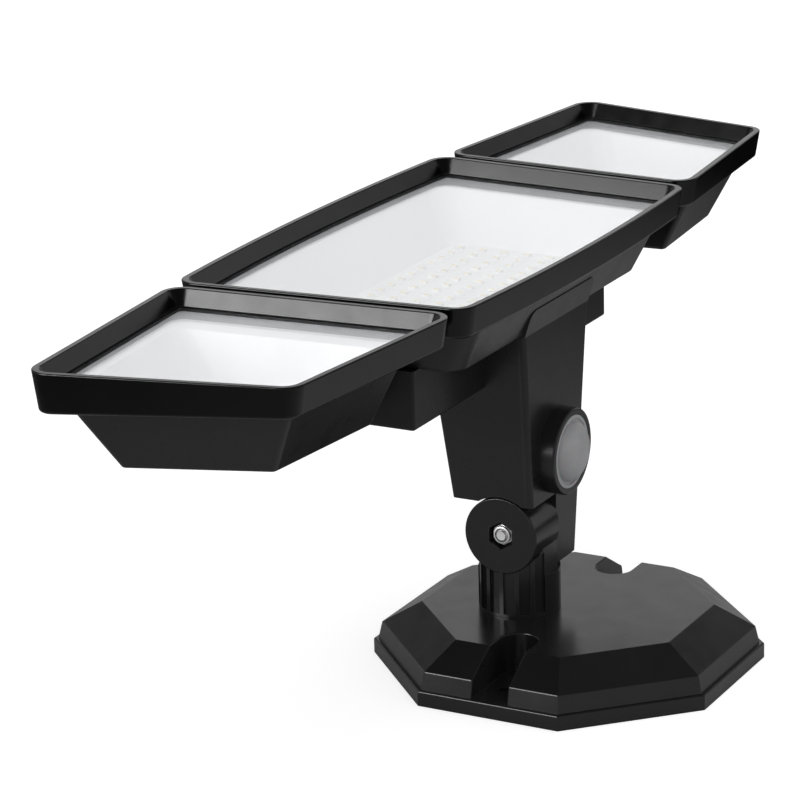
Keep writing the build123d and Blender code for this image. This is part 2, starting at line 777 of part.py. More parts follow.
# Crossbar: open-topped box under the middle lamp, cut out round the neck, bored for the knuckles
with BuildPart() as crossbar:
    with BuildSketch(level(crossbar_bottom)) as bar:
        RectangleRounded(2 * crossbar_half_length, 2 * crossbar_half_width, crossbar_wall / 2)
    extrude(amount=crossbar_height)
    fillet(crossbar.edges().group_by(Axis.Z)[0], crossbar_round)
    with BuildSketch(level(crossbar_bottom + crossbar_wall)) as bar_hollow:
        Rectangle(2 * (crossbar_half_length - crossbar_wall), 2 * (crossbar_half_width - crossbar_wall))
    extrude(amount=crossbar_height, mode=Mode.SUBTRACT)
    with BuildSketch(level(crossbar_bottom)) as columns:
        with GridLocations(2 * crossbar_screw_x, 2 * crossbar_screw_v, 2, 2):
            Circle(crossbar_column_radius)
    extrude(amount=crossbar_height)
    with BuildSketch(level(centre_floor)) as column_threads:
        with GridLocations(2 * crossbar_screw_x, 2 * crossbar_screw_v, 2, 2):
            Circle(screw_radius)
    extrude(amount=-crossbar_screw_length, mode=Mode.SUBTRACT)
    for end in (-1, 1):
        end_x = hinge_x + end * crossbar_half_length
        end_plane = Plane(origin=(end_x, row_y, knuckle_z), x_dir=(0, 1, 0), z_dir=(-end, 0, 0))
        with BuildSketch(end_plane) as knuckle_boss:
            Circle(knuckle_boss_radius)
        extrude(amount=knuckle_boss_length)
        with BuildSketch(end_plane) as knuckle_bore:
            Circle(knuckle_spigot_radius + running_fit)
        extrude(amount=knuckle_boss_length, mode=Mode.SUBTRACT)
    loft(
        (neck_section(neck_bottom, -running_fit), neck_section(centre_floor, -running_fit)),
        ruled=True,
        mode=Mode.SUBTRACT,
    )
save(crossbar.part, "crossbar")

with BuildPart() as crossbar_screws:
    with BuildSketch(level(centre_floor + shell_wall)) as crossbar_shanks:
        with GridLocations(2 * crossbar_screw_x, 2 * crossbar_screw_v, 2, 2):
            Circle(screw_radius)
    extrude(amount=-shell_wall - crossbar_screw_length)
    with BuildSketch(level(centre_floor + shell_wall)) as crossbar_heads:
        with GridLocations(2 * crossbar_screw_x, 2 * crossbar_screw_v, 2, 2):
            Circle(screw_head_radius)
    extrude(amount=-screw_head_height / 2)
save(crossbar_screws.part, "crossbar_screws")


def inside(insets, wall):
    """Insets of an inner face that leaves this much wall."""
    return [inset + wall for inset in insets]


def make_bezel(plan, bottom, lean=0.0):
    """Deep rim of a lamp: drafted outside, funnel inside, and a pocket for the lens stack."""
    lip = plan.even(lens_top, rim_lip_inset)
    mouth = plan.even(rim_top, rim_width_top)
    with BuildPart() as bezel:
        loft((plan.even(bottom, rim_draft, lean), plan.even(rim_top, 0)), ruled=True)
        fillet(bezel.faces().sort_by(Axis.Z)[0].edges(), rim_foot_edge)
        loft((lip, mouth), ruled=True, mode=Mode.SUBTRACT)
        extrude(plan.even(centre_floor, pocket_inset), lens_top - centre_floor, mode=Mode.SUBTRACT)
        fillet(bezel.edges().group_by(Axis.Z)[-1], rim_edge)
    return bezel.part


def make_lens(plan):
    with BuildPart() as lens:
        extrude(plan.even(lens_bottom, stack_inset), lens_thickness)
    return lens.part


def make_seal(plan):
    with BuildPart() as seal:
        extrude(plan.even(seal_bottom, stack_inset), seal_height)
        extrude(plan.even(seal_bottom, stack_inset + seal_width), seal_height, mode=Mode.SUBTRACT)
    return seal.part


def make_reflector(plan, board_top, foot, mouth, shift=0.0):
    """White tray: a flange under the seal and four sloped walls down to the LED board.

    Foot and mouth are insets of the walls' outside; the mouth is moved towards -Y by shift."""
    inner_foot = inside(foot, reflector_wall)
    inner_mouth = inside(mouth, reflector_wall)
    with BuildPart() as reflector:
        extrude(plan.even(flange_bottom, stack_inset), flange_height)
        loft(
            (
                plan.face(level(board_top), foot, housing_corner),
                plan.face(level(flange_bottom, 0, shift), mouth, housing_corner),
            ),
            ruled=True,
        )
        loft(
            (
                plan.face(level(board_top), inner_foot, housing_corner),
                plan.face(level(flange_bottom + flange_height, 0, shift), inner_mouth, housing_corner),
            ),
            ruled=True,
            mode=Mode.SUBTRACT,
        )
    return reflector.part


def make_leds(place, board_top, rows, columns):
    """Grid of LED packages on a board, rows along X."""
    with BuildPart() as leds:
        with BuildSketch(level(board_top)) as packages:
            with Locations((place, 0)):
                with GridLocations(led_pitch_x, led_pitch_y, rows, columns):
                    Rectangle(led_width, led_length)
        extrude(amount=led_height)
    return leds.part


def make_board(place, bottom, rows, columns):
    """Board under a grid of LEDs."""
    half_length = led_pitch_x * (rows - 1) / 2 + window_margin + board_margin
    half_width = led_pitch_y * (columns - 1) / 2 + window_margin + board_margin
    with BuildPart() as board:
        with BuildSketch(level(bottom)) as board_outline:
            with Locations((place, 0)):
                RectangleRounded(2 * half_length, 2 * half_width, board_margin)
        extrude(amount=board_thickness)
    return board.part


# Middle lamp
centre_foot = (centre_side_draft, centre_end_draft, centre_end_draft)
centre_mouth = (housing_inset, centre_end_inset, centre_end_inset)
centre_board_bottom = centre_floor + shell_wall
centre_board_top = centre_board_bottom + board_thickness
centre_window_half_length = led_pitch_x * (centre_led_rows - 1) / 2 + window_margin
centre_window_half_width = led_pitch_y * (centre_led_columns - 1) / 2 + window_margin
with BuildPart() as centre_housing:
    loft(
        (
            centre_plan.face(level(centre_floor), centre_foot, housing_corner),
            centre_plan.face(level(centre_rim_bottom), centre_mouth, housing_corner),
        ),
        ruled=True,
    )
    fillet(centre_housing.edges().group_by(Axis.Z)[0], housing_round)
    extrude(centre_plan.even(centre_rim_bottom, stack_inset), flange_bottom - centre_rim_bottom)
    loft(
        (
            centre_plan.face(level(centre_board_bottom), inside(centre_foot, shell_wall), housing_corner),
            centre_plan.face(level(flange_bottom), inside(centre_mouth, shell_wall), housing_corner),
        ),
        ruled=True,
        mode=Mode.SUBTRACT,
    )
    with BuildSketch(level(centre_board_bottom)) as floor_holes:
        with GridLocations(2 * crossbar_screw_x, 2 * crossbar_screw_v, 2, 2):
            Circle(screw_radius + running_fit)
    extrude(amount=-shell_wall, mode=Mode.SUBTRACT)
    with BuildSketch(level(centre_board_bottom)) as floor_counterbores:
        with GridLocations(2 * crossbar_screw_x, 2 * crossbar_screw_v, 2, 2):
            Circle(screw_head_radius + running_fit)
    extrude(amount=-screw_head_height / 2, mode=Mode.SUBTRACT)
save(centre_housing.part, "centre_housing")
save(make_bezel(centre_plan, centre_rim_bottom), "centre_bezel")
save(make_lens(centre_plan), "centre_lens")
save(make_seal(centre_plan), "centre_seal")
save(
    make_reflector(
        centre_plan,
        centre_board_top,
        (
            centre_half_width - centre_window_half_width - reflector_wall,
            centre_half_length - centre_window_half_length - reflector_wall,
            centre_half_length - centre_window_half_length - reflector_wall,
        ),
        inside(centre_mouth, shell_wall + stack_clearance),
    ),
    "centre_reflector",
)
save(make_board(0, centre_board_bottom, centre_led_rows, centre_led_columns), "centre_led_board")
save(make_leds(0, centre_board_top, centre_led_rows, centre_led_columns), "centre_leds")

# Side lamps: a ledge inside the rim, a deep frustum that leans, and two lugs for the hinge pin
side_ledge = side_rim_bottom + ledge_recess
side_board_bottom = centre_board_bottom
side_board_top = side_board_bottom + board_thickness
side_foot = (side_draft, side_inner_wall, side_end_draft)
side_mouth = (side_inset, side_inner_wall, side_end_inset)
side_middle_u = (side_inner_u + side_inner_wall + side_outer_u - side_end_draft) / 2
side_board_half_length = led_pitch_x * (side_led_rows - 1) / 2 + window_margin + board_margin
side_board_half_width = led_pitch_y * (side_led_columns - 1) / 2 + window_margin + board_margin
lug_inner = eye_half_width + lug_gap
lug_outer = lug_inner + lug_thickness
lug_root_u = side_inner_u + side_inner_wall + shell_wall / 2
underside = level(side_floor, side_lean, side_shift)
under_ledge = level(side_ledge, side_lean, side_shift)
cavity_floor = level(side_floor + shell_wall, side_lean, side_shift)
cavity_mouth = level(flange_bottom, 0, side_shift)
with BuildPart() as side_housing:
    loft(
        (
            side_plan.face(underside, side_foot, side_corner),
            side_plan.face(under_ledge, side_mouth, side_corner),
        ),
        ruled=True,
    )
    fillet(side_housing.faces().sort_by(Axis.Z)[0].edges(), housing_round)
    loft(
        (side_plan.even(side_ledge, stack_inset, side_lean), side_plan.even(flange_bottom, stack_inset)),
        ruled=True,
    )
    loft(
        (
            side_plan.face(cavity_floor, inside(side_foot, shell_wall), housing_corner),
            side_plan.face(cavity_mouth, inside(side_mouth, shell_wall), housing_corner),
        ),
        ruled=True,
        mode=Mode.SUBTRACT,
    )
    with BuildSketch(level(side_floor + shell_wall / 2)) as board_posts:
        with Locations((side_middle_u, 0)):
            with GridLocations(side_board_half_length, side_board_half_width, 2, 2):
                Circle(board_post_radius)
    extrude(amount=side_board_bottom - side_floor - shell_wall / 2)
    for v in (lug_inner, -lug_outer):
        with BuildSketch(Plane(origin=(hinge_x, row_y + v, 0), x_dir=(1, 0, 0), z_dir=(0, -1, 0))) as lug:
            with BuildLine():
                Polyline(
                    (pin_u, knuckle_z - eye_radius),
                    (lug_root_u, side_floor + shell_wall / 2),
                    (lug_root_u, side_floor + lug_wall_height),
                    (pin_u, knuckle_z + eye_radius),
                    close=True,
                )
            make_face()
            with Locations((pin_u, knuckle_z)):
                Circle(eye_radius)
                Circle(pin_radius, mode=Mode.SUBTRACT)
        extrude(amount=-lug_thickness)
save_pair(side_housing.part, "housing")
save_pair(make_bezel(side_plan, side_rim_bottom, side_lean), "bezel")
save_pair(make_lens(side_plan), "lens")
save_pair(make_seal(side_plan), "seal")
save_pair(
    make_reflector(
        side_plan,
        side_board_top,
        side_tray_foot,
        inside(side_mouth, shell_wall + stack_clearance),
        side_shift,
    ),
    "reflector",
)
with BuildPart() as side_board:
    extrude(side_plan.face(level(side_board_bottom), side_tray_foot, housing_corner), board_thickness)
save_pair(side_board.part, "led_board")
save_pair(make_leds(side_middle_u, side_board_top, side_led_rows, side_led_columns), "leds")


# Knuckle of a side lamp: a spigot that turns in the crossbar, a collar and an eye for the pin
def axle_plane(u):
    """Plane across the knuckle's spigot at u, looking outwards."""
    return Plane(origin=(hinge_x + u, row_y, knuckle_z), x_dir=(0, 1, 0), z_dir=(1, 0, 0))


collar_u = crossbar_half_length + side_gap
spigot_end_u = crossbar_half_length - knuckle_boss_length - side_gap
with BuildPart() as knuckle:
    with BuildSketch(axle_plane(spigot_end_u)) as knuckle_spigot:
        Circle(knuckle_spigot_radius)
    extrude(amount=collar_u - spigot_end_u)
    with BuildSketch(axle_plane(collar_u)) as knuckle_collar:
        Circle(knuckle_collar_radius)
    extrude(amount=knuckle_collar_length)
    with BuildSketch(Plane(origin=(hinge_x, row_y, knuckle_z), x_dir=(1, 0, 0), z_dir=(0, -1, 0))) as eye:
        with Locations(((collar_u + pin_u) / 2, 0)):
            Rectangle(pin_u - collar_u, 2 * eye_radius)
        with Locations((pin_u, 0)):
            Circle(eye_radius)
            Circle(pin_radius + running_fit, mode=Mode.SUBTRACT)
    extrude(amount=eye_half_width, both=True)
    with BuildSketch(axle_plane(spigot_end_u)) as knuckle_thread:
        Circle(knuckle_screw_radius)
    extrude(amount=knuckle_screw_length, mode=Mode.SUBTRACT)
save_pair(knuckle.part, "knuckle")

# Flanged screw that keeps the spigot in the crossbar
with BuildPart() as knuckle_screw:
    with BuildSketch(axle_plane(spigot_end_u)) as knuckle_screw_shank:
        Circle(knuckle_screw_radius)
    extrude(amount=knuckle_screw_length)
    with BuildSketch(axle_plane(spigot_end_u)) as knuckle_screw_head:
        Circle(knuckle_screw_head_radius)
    extrude(amount=-knuckle_screw_head_height)
save_pair(knuckle_screw.part, "knuckle_screw")

# Hinge pin through lugs and eye, with a head at one end and a nut at the other
with BuildPart() as hinge_pin:
    with BuildSketch(Plane(origin=(hinge_x + pin_u, row_y, knuckle_z), x_dir=(1, 0, 0), z_dir=(0, -1, 0))):
        Circle(pin_radius)
    extrude(amount=lug_outer + pin_head_height, both=True)
    with BuildSketch(
        Plane(origin=(hinge_x + pin_u, row_y - lug_outer, knuckle_z), x_dir=(1, 0, 0), z_dir=(0, -1, 0))
    ):
        Circle(pin_head_radius)
    extrude(amount=pin_head_height)
save_pair(hinge_pin.part, "hinge_pin")

with BuildPart() as hinge_nut:
    with BuildSketch(
        Plane(origin=(hinge_x + pin_u, row_y + lug_outer, knuckle_z), x_dir=(1, 0, 0), z_dir=(0, 1, 0))
    ):
        RegularPolygon(nut_flats / 2, 6, major_radius=False)
        Circle(pin_radius, mode=Mode.SUBTRACT)
    extrude(amount=pin_head_height)
save_pair(hinge_nut.part, "hinge_nut")
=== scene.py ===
"""Looks of the security light: materials, fine pieces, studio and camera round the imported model."""
import bmesh
import bpy
import json
from math import atan2, cos, pi, radians, sin, sqrt
from mathutils import Matrix, Vector

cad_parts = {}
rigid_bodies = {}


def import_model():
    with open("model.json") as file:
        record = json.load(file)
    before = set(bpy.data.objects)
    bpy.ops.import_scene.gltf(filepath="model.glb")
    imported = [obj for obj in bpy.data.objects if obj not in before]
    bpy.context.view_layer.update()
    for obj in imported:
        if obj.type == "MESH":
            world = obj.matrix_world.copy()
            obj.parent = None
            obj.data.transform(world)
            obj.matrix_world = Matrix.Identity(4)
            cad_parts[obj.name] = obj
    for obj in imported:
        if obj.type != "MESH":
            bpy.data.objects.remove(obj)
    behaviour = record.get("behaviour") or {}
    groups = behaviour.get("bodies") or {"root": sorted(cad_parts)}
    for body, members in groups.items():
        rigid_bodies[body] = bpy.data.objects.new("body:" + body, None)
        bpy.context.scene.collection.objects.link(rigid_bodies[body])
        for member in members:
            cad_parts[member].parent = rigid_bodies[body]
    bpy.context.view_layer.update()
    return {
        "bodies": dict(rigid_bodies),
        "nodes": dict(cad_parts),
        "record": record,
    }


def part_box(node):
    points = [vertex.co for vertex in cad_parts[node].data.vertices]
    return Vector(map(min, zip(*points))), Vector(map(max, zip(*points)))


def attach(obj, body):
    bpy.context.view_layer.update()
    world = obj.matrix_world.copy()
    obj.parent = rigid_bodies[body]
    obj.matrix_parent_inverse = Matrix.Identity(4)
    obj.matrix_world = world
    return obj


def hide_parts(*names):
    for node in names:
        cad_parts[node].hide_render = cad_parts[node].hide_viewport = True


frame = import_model()
nodes = frame["nodes"]
MM = 0.001

# Camera, found from the photograph's perspective
camera_place = Vector((-1.1949, -0.5753, 0.5359))
camera_azimuth = radians(-61.39)
camera_elevation = radians(17.71)
camera_roll = radians(-1.53)
camera_lens = 154.09
camera_sensor = 36.0
camera_clip = 0.01

# Room: its level for light that falls on the object, for light through a lens, and for what shiny
# faces mirror near the horizon and overhead, which end and start at these sines of the height angle
room_light = 0.42
room_through_lens = 0.72
room_horizon = 0.5
room_overhead = 0.06
horizon_end = 0.3
overhead_start = 0.42

# Floor: its glow is for the eye alone, and shiny faces see it fade between the near and far distance
floor_half = 4.0
floor_white = 0.86
floor_variation = 0.01
floor_glow = 0.72
mirrored_floor_near = 0.15
mirrored_floor_far = 0.63

# Lamps: each has a place, a width and height, and a power in watts
lamp_target = Vector((0.0, 0.03, 0.12))
top_lamp_place = Vector((-0.1, 0.0, 2.0))
top_lamp_size = (1.8, 1.8)
top_lamp_power = 4.6
left_lamp_place = Vector((-1.55, 0.85, 0.85))
left_lamp_size = (1.2, 0.9)
left_lamp_power = 30.0
back_lamp_place = Vector((2.4, 0.8, 1.02))
back_lamp_size = (2.6, 0.85)
back_lamp_power = 3.4

# Surfaces
smooth_limit = radians(32)
# Lighter colour along the black plastic's edges: partly rubbed wear, partly a painted highlight
edge_wear_and_highlight_width = 0.6 * MM
edge_wear_and_highlight_gain = 2.0
edge_wear_and_highlight_lift = 0.05
copper_field_x = 8.93 * MM
copper_field_y = 10.6 * MM
copper_gap = 0.3 * MM

# LED packages
led_rows = {"centre_leds": (15, 6), "left_leds": (5, 4), "right_leds": (5, 4)}
led_half_width = 1.4 * MM
led_half_length = 1.75 * MM
led_edge = 0.08 * MM
led_terminal_reach = 0.12 * MM
led_terminal_half_width = 0.95 * MM
led_terminal_height = 0.14 * MM
led_window_radius = 1.26 * MM
led_window_foot = 1.2 * MM
led_window_depth = 0.06 * MM
led_gel_rise = 0.02 * MM
led_terminal_root = 0.05 * MM
led_corner_steps = 3
led_gel_index = 1
led_metal_index = 2
tiny = 1e-6

# Pivot bolt and its lock nut
turn_sides = 96
nut_flats = 8.0 * MM
nut_chamfer_radius = 4.25 * MM
nut_bore_play = 0.02 * MM
collar_radius = 3.8 * MM
collar_height = 1.5 * MM
collar_round = 0.4 * MM
collar_rim = 0.85 * MM
insert_depth = 0.6 * MM
grip_index = 1
thread_pitch = 0.8 * MM
thread_depth = 0.28 * MM
thread_length = 14.0 * MM
bolt_radius = 2.5 * MM
bolt_tip_radius = 1.95 * MM
bolt_tip_length = 0.8 * MM
bolt_head_radius = 4.25 * MM
bolt_head_height = 5.0 * MM
bolt_head_edge = 0.4 * MM
socket_radius = 2.125 * MM
socket_depth = 2.5 * MM
knurl_count = 32
knurl_depth = 0.12 * MM


class Tree:
    """A material's node tree, with short ways to add and join nodes."""

    def __init__(self, name):
        self.material = bpy.data.materials.new(name)
        self.material.use_nodes = True
        self.nodes = self.material.node_tree.nodes
        self.links = self.material.node_tree.links
        self.shader = self.nodes["Principled BSDF"]
        self.output = self.nodes["Material Output"]
        self.place = self.nodes.new("ShaderNodeTexCoord").outputs["Object"]

    def join(self, source, target):
        self.links.new(source, target)

    def noise(self, scale, detail=3.0, roughness=0.55, stretch=None):
        """Noise in object space; scale counts features for each metre."""
        node = self.nodes.new("ShaderNodeTexNoise")
        node.inputs["Scale"].default_value = scale
        node.inputs["Detail"].default_value = detail
        node.inputs["Roughness"].default_value = roughness
        place = self.place
        if stretch:
            mapping = self.nodes.new("ShaderNodeMapping")
            mapping.inputs["Scale"].default_value = stretch
            self.join(place, mapping.inputs["Vector"])
            place = mapping.outputs["Vector"]
        self.join(place, node.inputs["Vector"])
        return node.outputs["Fac"]

    def span(self, factor, low, high, from_low=0.3, from_high=0.7):
        """Factor mapped on to the range from low to high."""
        node = self.nodes.new("ShaderNodeMapRange")
        node.inputs["From Min"].default_value = from_low
        node.inputs["From Max"].default_value = from_high
        node.inputs["To Min"].default_value = low
        node.inputs["To Max"].default_value = high
        self.join(factor, node.inputs["Value"])
        return node.outputs["Result"]

    def shade(self, factor, dark, light, start=0.3, end=0.7):
        """Colour between dark and light."""
        node = self.nodes.new("ShaderNodeValToRGB")
        node.color_ramp.elements[0].position = start
        node.color_ramp.elements[0].color = (*dark, 1)
        node.color_ramp.elements[1].position = end
        node.color_ramp.elements[1].color = (*light, 1)
        self.join(factor, node.inputs["Fac"])
        return node.outputs["Color"]

    def math(self, operation, first, second):
        """Sum, product or the like of two sockets or numbers."""
        node = self.nodes.new("ShaderNodeMath")
        node.operation = operation
        for socket, value in zip(node.inputs, (first, second)):
            if isinstance(value, (int, float)):
                socket.default_value = value
            else:
                self.join(value, socket)
        return node.outputs["Value"]

    def edge(self, radius):
        """Where the surface turns sharply within radius: 0 on flats, near 1 on edges."""
        bevel = self.nodes.new("ShaderNodeBevel")
        bevel.samples = 4
        bevel.inputs["Radius"].default_value = radius
        flat = self.nodes.new("ShaderNodeNewGeometry")
        turn = self.nodes.new("ShaderNodeVectorMath")
        turn.operation = "DOT_PRODUCT"
        self.join(bevel.outputs["Normal"], turn.inputs[0])
        self.join(flat.outputs["Normal"], turn.inputs[1])
        return self.span(turn.outputs["Value"], 1.0, 0.0, 0.8, 0.98)

    def mix(self, factor, first, second):
        """Mix of two colours, which the node holds in its sockets 6 and 7."""
        node = self.nodes.new("ShaderNodeMix")
        node.data_type = "RGBA"
        self.join(factor, node.inputs["Factor"])
        for socket, value in zip((node.inputs[6], node.inputs[7]), (first, second)):
            if isinstance(value, tuple):
                socket.default_value = (*value, 1)
            else:
                self.join(value, socket)
        return node.outputs[2]

    def bump(self, height, depth, strength=1.0):
        """Bump of a real depth; several bumps follow one another."""
        node = self.nodes.new("ShaderNodeBump")
        node.inputs["Distance"].default_value = depth
        node.inputs["Strength"].default_value = strength
        self.join(height, node.inputs["Height"])
        normal = self.shader.inputs["Normal"]
        if normal.is_linked:
            self.join(normal.links[0].from_socket, node.inputs["Normal"])
        self.join(node.outputs["Normal"], normal)

    def colour(self, socket):
        self.join(socket, self.shader.inputs["Base Color"])

    def rough(self, socket):
        self.join(socket, self.shader.inputs["Roughness"])

    def mottle(self, scale, detail, dark, light):
        """Base colour that wanders between dark and light."""
        self.colour(self.shade(self.noise(scale, detail), dark, light))

    def sheen(self, scale, detail, low, high):
        """Roughness that wanders between low and high."""
        self.rough(self.span(self.noise(scale, detail), low, high))

    def grain(self, scale, detail, depth):
        """Fine bumps of a real depth all over."""
        self.bump(self.noise(scale, detail), depth)

    def set(self, **values):
        """Constant values of the shader, by the names of its sockets."""
        for name, value in values.items():
            self.shader.inputs[name.replace("_", " ")].default_value = value


def black_plastic(name, tone, roughness, grain):
    """Injection-moulded black plastic: fine grain, uneven sheen, and edges painted lighter, partly as wear
    and partly as a painted highlight.
    """
    tree = Tree(name)
    dark = (tone * 0.9, tone * 0.9, tone * 0.93)
    light = (tone * 1.12, tone * 1.12, tone * 1.2)
    # Edge colour: partly rubbed wear, partly a painted highlight where rounded edges would catch the lamps
    edge_wear_and_highlight_colour = (tone * edge_wear_and_highlight_gain + edge_wear_and_highlight_lift,) * 3
    body = tree.shade(tree.noise(scale=35, detail=4), dark, light)
    patches = tree.span(tree.noise(scale=160, detail=5), low=0.3, high=0.8)
    edge_wear_and_highlight_mask = tree.math("MULTIPLY", tree.edge(edge_wear_and_highlight_width), patches)
    tree.colour(tree.mix(edge_wear_and_highlight_mask, body, edge_wear_and_highlight_colour))
    broad = tree.span(tree.noise(scale=90, detail=5), low=roughness - 0.03, high=roughness + 0.04)
    fine = tree.span(tree.noise(scale=2600, detail=2), low=-0.02, high=0.02)
    tree.rough(tree.math("ADD", broad, fine))
    tree.grain(scale=2200, detail=2, depth=grain)
    tree.set(Specular_IOR_Level=0.5)
    return tree.material


def white_reflector():
    """Smooth white moulded tray."""
    tree = Tree("reflector_white_plastic")
    tree.mottle(scale=9, detail=2, dark=(0.845, 0.852, 0.872), light=(0.86, 0.866, 0.884))
    tree.sheen(scale=40, detail=2, low=0.42, high=0.5)
    tree.grain(scale=900, detail=2, depth=0.004 * MM)
    return tree.material


def board_mask():
    """White solder mask over copper, with the copper's outline faintly raised."""
    tree = Tree("board_white_mask")
    bricks = tree.nodes.new("ShaderNodeTexBrick")
    bricks.offset = 0.0
    bricks.inputs["Scale"].default_value = 1.0
    bricks.inputs["Brick Width"].default_value = copper_field_x
    bricks.inputs["Row Height"].default_value = copper_field_y
    bricks.inputs["Mortar Size"].default_value = copper_gap
    bricks.inputs["Color1"].default_value = (0.82, 0.825, 0.83, 1)
    bricks.inputs["Color2"].default_value = (0.84, 0.845, 0.85, 1)
    bricks.inputs["Mortar"].default_value = (0.7, 0.71, 0.72, 1)
    tree.join(tree.place, bricks.inputs["Vector"])
    tree.colour(bricks.outputs["Color"])
    tree.sheen(scale=300, detail=4, low=0.38, high=0.52)
    tree.bump(bricks.outputs["Fac"], depth=0.03 * MM)
    tree.grain(scale=1500, detail=2, depth=0.006 * MM)
    return tree.material


def green_mask():
    """Green circuit board."""
    tree = Tree("circuit_green_mask")
    tree.mottle(scale=400, detail=4, dark=(0.01, 0.09, 0.035), light=(0.02, 0.13, 0.05))
    tree.sheen(scale=250, detail=3, low=0.3, high=0.45)
    tree.grain(scale=700, detail=2, depth=0.02 * MM)
    return tree.material


def phosphor():
    """Yellow phosphor under clear silicone."""
    tree = Tree("led_phosphor")
    tree.mottle(scale=1500, detail=3, dark=(0.84, 0.72, 0.36), light=(0.88, 0.78, 0.45))
    tree.sheen(scale=900, detail=2, low=0.2, high=0.35)
    tree.grain(scale=3000, detail=2, depth=0.01 * MM)
    return tree.material


def led_ceramic():
    """White LED package."""
    tree = Tree("led_ceramic")
    tree.mottle(scale=1200, detail=3, dark=(0.8, 0.8, 0.79), light=(0.86, 0.86, 0.855))
    tree.sheen(scale=800, detail=2, low=0.35, high=0.5)
    tree.grain(scale=4000, detail=2, depth=0.005 * MM)
    return tree.material


def bright_steel(name, roughness, tone):
    """Plated steel with fine turning marks."""
    tree = Tree(name)
    light = tuple(min(1.0, c * 1.12) for c in tone)
    tree.mottle(scale=500, detail=4, dark=tone, light=light)
    streaks = tree.noise(scale=900, detail=4, stretch=(0.2, 1, 1))
    tree.rough(tree.span(streaks, low=roughness - 0.06, high=roughness + 0.1))
    marks = tree.noise(scale=5000, detail=2, stretch=(0.05, 1, 1))
    tree.bump(marks, depth=0.006 * MM)
    tree.set(Metallic=1.0)
    return tree.material


def seal_rubber():
    """Dull dark rubber."""
    tree = Tree("seal_rubber_dark")
    tree.mottle(scale=300, detail=4, dark=(0.03, 0.03, 0.031), light=(0.05, 0.05, 0.051))
    tree.sheen(scale=500, detail=3, low=0.7, high=0.88)
    tree.grain(scale=2500, detail=3, depth=0.04 * MM)
    return tree.material


def cream_moulding():
    """Cream plastic of the terminal block."""
    tree = Tree("terminal_cream")
    tree.mottle(scale=120, detail=3, dark=(0.6, 0.56, 0.45), light=(0.68, 0.64, 0.53))
    tree.sheen(scale=300, detail=3, low=0.45, high=0.6)
    tree.grain(scale=1800, detail=2, depth=0.02 * MM)
    return tree.material


def dark_component():
    """Sleeves of the driver's larger parts."""
    tree = Tree("component_sleeve")
    tree.mottle(scale=200, detail=3, dark=(0.02, 0.02, 0.03), light=(0.04, 0.04, 0.055))
    tree.sheen(scale=400, detail=3, low=0.3, high=0.45)
    tree.grain(scale=1500, detail=2, depth=0.02 * MM)
    return tree.material


def frosted_dome():
    """Milky grey lens of the motion sensor, which lets some light in."""
    tree = Tree("dome_frosted_grey")
    tree.mottle(scale=120, detail=4, dark=(0.5, 0.504, 0.516), light=(0.58, 0.584, 0.598))
    tree.sheen(scale=700, detail=4, low=0.36, high=0.5)
    tree.grain(scale=1600, detail=3, depth=0.02 * MM)
    tree.set(Subsurface_Weight=0.35, Subsurface_Scale=2 * MM)
    return tree.material


def clear_lens():
    """Clear polycarbonate: glass to the eye, open to the light that falls through it."""
    tree = Tree("lens_clear_plastic")
    tree.mottle(scale=18, detail=2, dark=(0.975, 0.98, 0.985), light=(0.99, 0.992, 0.995))
    tree.sheen(scale=60, detail=3, low=0.0, high=0.015)
    tree.bump(tree.noise(scale=8, detail=2), depth=0.008 * MM, strength=0.2)
    tree.set(Transmission_Weight=1.0, IOR=1.49)
    path = tree.nodes.new("ShaderNodeLightPath")
    open_air = tree.nodes.new("ShaderNodeBsdfTransparent")
    choose = tree.nodes.new("ShaderNodeMixShader")
    tree.join(path.outputs["Is Shadow Ray"], choose.inputs["Fac"])
    tree.join(tree.shader.outputs["BSDF"], choose.inputs[1])
    tree.join(open_air.outputs["BSDF"], choose.inputs[2])
    tree.join(choose.outputs["Shader"], tree.output.inputs["Surface"])
    return tree.material


finishes = {
    "housing_black": black_plastic("black_plastic_satin", tone=0.02, roughness=0.3, grain=0.008 * MM),
    # The rims take a much darker copy of the black plastic: painted shade on their faces
    "bezel_black": black_plastic("black_plastic_rim_painted_shade", tone=0.0016, roughness=0.22, grain=0.008 * MM),
    "base_black": black_plastic("black_plastic_base", tone=0.018, roughness=0.22, grain=0.006 * MM),
    "reflector_white": white_reflector(),
    "board_white": board_mask(),
    "circuit_green": green_mask(),
    "led_yellow": phosphor(),
    "led_ceramic": led_ceramic(),
    "steel": bright_steel("steel_plated", roughness=0.4, tone=(0.86, 0.86, 0.865)),
    "seal_rubber": seal_rubber(),
    "moulding_cream": cream_moulding(),
    "component_dark": dark_component(),
    "dome_frosted": frosted_dome(),
    "lens_clear": clear_lens(),
}


def dress_nodes():
    """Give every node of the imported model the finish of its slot."""
    special = {"base_plate": "base_black", "swivel_post": "base_black"}
    for part in frame["record"]["subparts"]:
        name = part["node"]
        finish = special.get(name, part["material_slot"])
        # Rims get the darker copy of the black plastic, which is painted shade
        if name.endswith("_bezel"):
            finish = "bezel_black"
        mesh = nodes[name].data
        mesh.materials.clear()
        mesh.materials.append(finishes[finish])
        smooth_node(nodes[name])


def smooth_node(piece):
    """Smooth shading on the curved faces, with flat faces kept flat."""
    piece.data.shade_smooth()
    piece.data.set_sharp_from_angle(angle=smooth_limit)


def body_of(node):
    """Name of the body that a node rides on."""
    return next(name for name, body in frame["bodies"].items() if body == nodes[node].parent)


